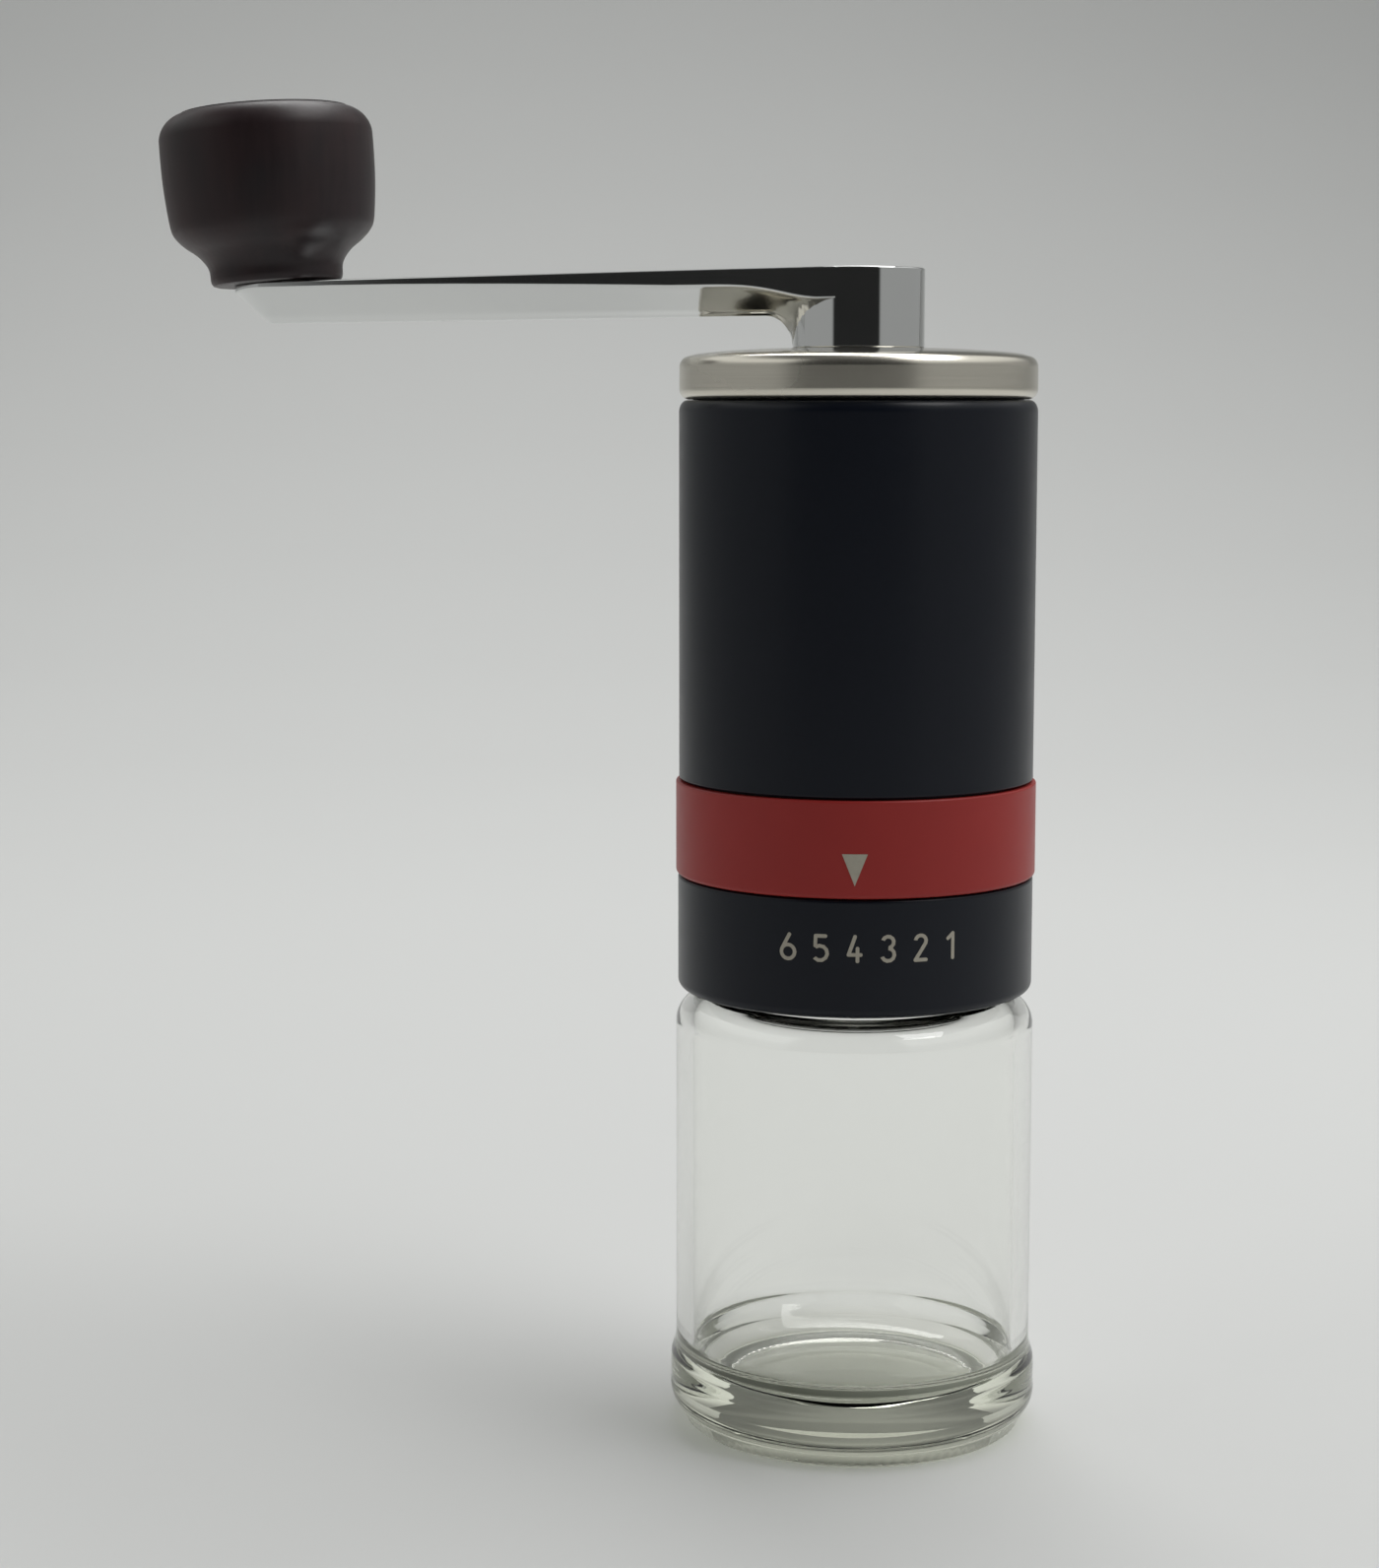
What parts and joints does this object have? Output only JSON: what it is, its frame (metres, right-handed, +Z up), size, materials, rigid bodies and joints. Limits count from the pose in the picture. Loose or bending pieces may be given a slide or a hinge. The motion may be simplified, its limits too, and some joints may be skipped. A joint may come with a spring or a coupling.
{
  "type": "hand crank coffee grinder",
  "caption": "Slim cylindrical hand coffee grinder with a screw-on glass jar, numbered grind dial, lift-off metal lid and crank arm with a wooden knob.",
  "frame": {"origin": "centre of the jar's bearing ring, on the surface that the grinder stands on", "axes": "+Z up along the grinder's axis; the dial pointer and the number in use face -Y; the crank points to -X and 15 degrees towards +Y at rest"},
  "size_m": [0.1344, 0.0679, 0.1967],
  "materials": {
    "jar_glass": "clear moulded glass, faintly green",
    "gasket_rubber": "matt silicone",
    "inner_plastic": "matt moulded",
    "black_paint": "satin black powder coat",
    "red_paint": "satin dark red anodised look",
    "print_ink": "pad print",
    "steel": "turned",
    "carrier_aluminium": "turned",
    "burr_ceramic": "fired, matt",
    "lid_steel": "finely brushed round the axis",
    "bush_brass": "turned",
    "arm_chrome": "polished",
    "knob_wood": "dark stained, satin lacquer"
  },
  "bodies": {
    "housing": {"inner_housing": "inner_plastic", "body_tube": "black_paint", "index_band": "red_paint", "pointer_mark": "print_ink", "collar_retainer": "inner_plastic", "retainer_screws": "steel", "lower_bridge": "inner_plastic", "lower_bearing": "steel", "upper_bridge": "inner_plastic", "upper_bearing": "steel", "detent_ball": "steel", "detent_spring": "steel"},
    "dial": {"dial_collar": "black_paint", "dial_numerals": "print_ink"},
    "carrier": {"burr_carrier": "carrier_aluminium", "outer_burr": "burr_ceramic", "carrier_pins": "steel"},
    "shaft": {"drive_shaft": "steel", "shaft_sleeve": "steel", "inner_burr": "burr_ceramic", "burr_washer": "steel", "shaft_nut": "steel"},
    "lid": {"lid_shell": "lid_steel", "lid_plug": "inner_plastic", "lid_seal": "gasket_rubber", "hub_bush": "bush_brass"},
    "crank": {"crank_arm": "arm_chrome", "hub_socket": "steel", "hub_clip": "steel", "knob_pin": "steel"},
    "knob_body": {"knob": "knob_wood", "knob_bush": "bush_brass"},
    "seal": {"jar_gasket": "gasket_rubber"},
    "jar": {"glass_jar": "jar_glass"}
  },
  "joints": [
    {"name": "lid_lift", "type": "slide", "parent": "housing", "child": "lid", "axis": [0, 0, 1], "range_m": [0, 0.03]},
    {"name": "crank_turn", "type": "hinge", "parent": "lid", "child": "crank", "pos_m": [0, 0, 0.165], "axis": [0, 0, -1], "continuous": true},
    {"name": "knob_spin", "type": "hinge", "parent": "crank", "child": "knob_body", "pos_m": [-0.08935, 0.02394, 0.16964], "axis": [-0.0674, 0.0181, 0.9976], "continuous": true},
    {"name": "shaft_spin", "type": "hinge", "parent": "housing", "child": "shaft", "pos_m": [0, 0, 0.12], "axis": [0, 0, -1], "continuous": true},
    {"name": "dial_turn", "type": "hinge", "parent": "housing", "child": "dial", "pos_m": [0, 0, 0.075], "axis": [0, 0, 1], "range_deg": [-31.2, 20.8]},
    {"name": "carrier_shift", "type": "slide", "parent": "housing", "child": "carrier", "axis": [0, 0, 1], "range_m": [-0.00026, 0.00018]},
    {"name": "jar_unscrew", "type": "hinge", "parent": "housing", "child": "seal", "pos_m": [0, 0, 0.07], "axis": [0, 0, -1], "range_deg": [0, 990]},
    {"name": "jar_drop", "type": "slide", "parent": "seal", "child": "jar", "axis": [0, 0, 1], "range_m": [-0.0111, 0]}
  ],
  "couplings": [
    {"joint": "shaft_spin", "follows": "crank_turn", "ratio": 1},
    {"joint": "carrier_shift", "follows": "dial_turn", "m_per_rad": 0.00047746},
    {"joint": "jar_drop", "follows": "jar_unscrew", "m_per_rad": -0.00063662}
  ]
}
